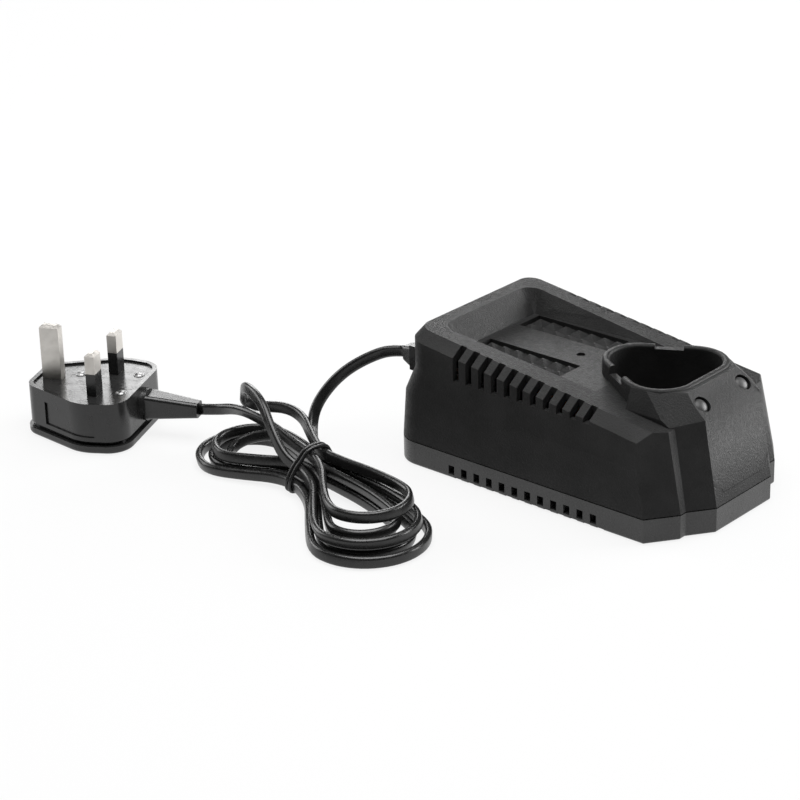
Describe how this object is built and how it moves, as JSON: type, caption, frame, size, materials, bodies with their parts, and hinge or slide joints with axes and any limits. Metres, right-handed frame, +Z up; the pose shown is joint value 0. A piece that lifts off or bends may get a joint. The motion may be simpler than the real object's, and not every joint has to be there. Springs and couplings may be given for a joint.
{
  "type": "battery charger",
  "caption": "Desktop battery charger: a vented black case with a lobed battery socket, a tray and indicator windows, and a tied flat mains cord with a fused plug.",
  "frame": {"origin": "centre of the case's footprint, on the table", "axes": "+X towards the battery socket's end, +Y towards the long side that is away from the plug's end of the cord, +Z up"},
  "size_m": [0.273, 0.1682, 0.0546],
  "materials": {
    "housing": "fine textured moulding",
    "indicator_red": "clear moulding",
    "indicator_green": "clear moulding",
    "cord": "smooth flat twin sheath",
    "tie": "coated wire",
    "plug": "smooth moulding",
    "plug_plate": "hard moulding",
    "pin": "nickel plated",
    "sleeve": "moulded insulation",
    "carrier": "hard moulding",
    "fuse": "glazed barrel with plated caps",
    "steel": "zinc plated",
    "board": "laminate",
    "ferrite": "sintered",
    "former": "moulded",
    "winding": "enamelled copper",
    "can": "sleeved can",
    "heatsink": "extruded",
    "package": "moulded package",
    "contact": "sprung brass",
    "lead": "insulated core"
  },
  "bodies": {
    "charger": {"upper_housing": "housing", "lower_housing": "housing", "left_light_guide": "indicator_red", "right_light_guide": "indicator_green", "cord_gland": "cord", "gland_lead": "cord", "cord_hank": "cord", "plug_lead": "cord", "cord_tie": "tie", "plug_strain_relief": "plug", "plug_body": "plug", "plug_face": "plug_plate", "earth_pin": "pin", "live_pin": "pin", "neutral_pin": "pin", "live_sleeve": "sleeve", "neutral_sleeve": "sleeve", "fuse_clips": "contact", "case_screws": "steel", "circuit_board": "board", "board_screws": "steel", "transformer_core": "ferrite", "transformer_bobbin": "former", "transformer_winding": "winding", "bulk_capacitor": "can", "output_capacitor": "can", "input_choke": "ferrite", "board_fuse": "package", "heatsink": "heatsink", "power_transistor": "package", "transistor_screw": "steel", "controller_chip": "package", "red_led": "indicator_red", "green_led": "indicator_green", "terminal_block": "former", "contact_blades": "contact", "mains_leads": "lead"},
    "fuse_drawer": {"fuse_carrier": "carrier", "plug_fuse": "fuse"}
  },
  "joints": [
    {"name": "fuse_drawer_slide", "type": "slide", "parent": "charger", "child": "fuse_drawer", "axis": [0, 0, 1], "range_m": [0, 0.008]}
  ]
}
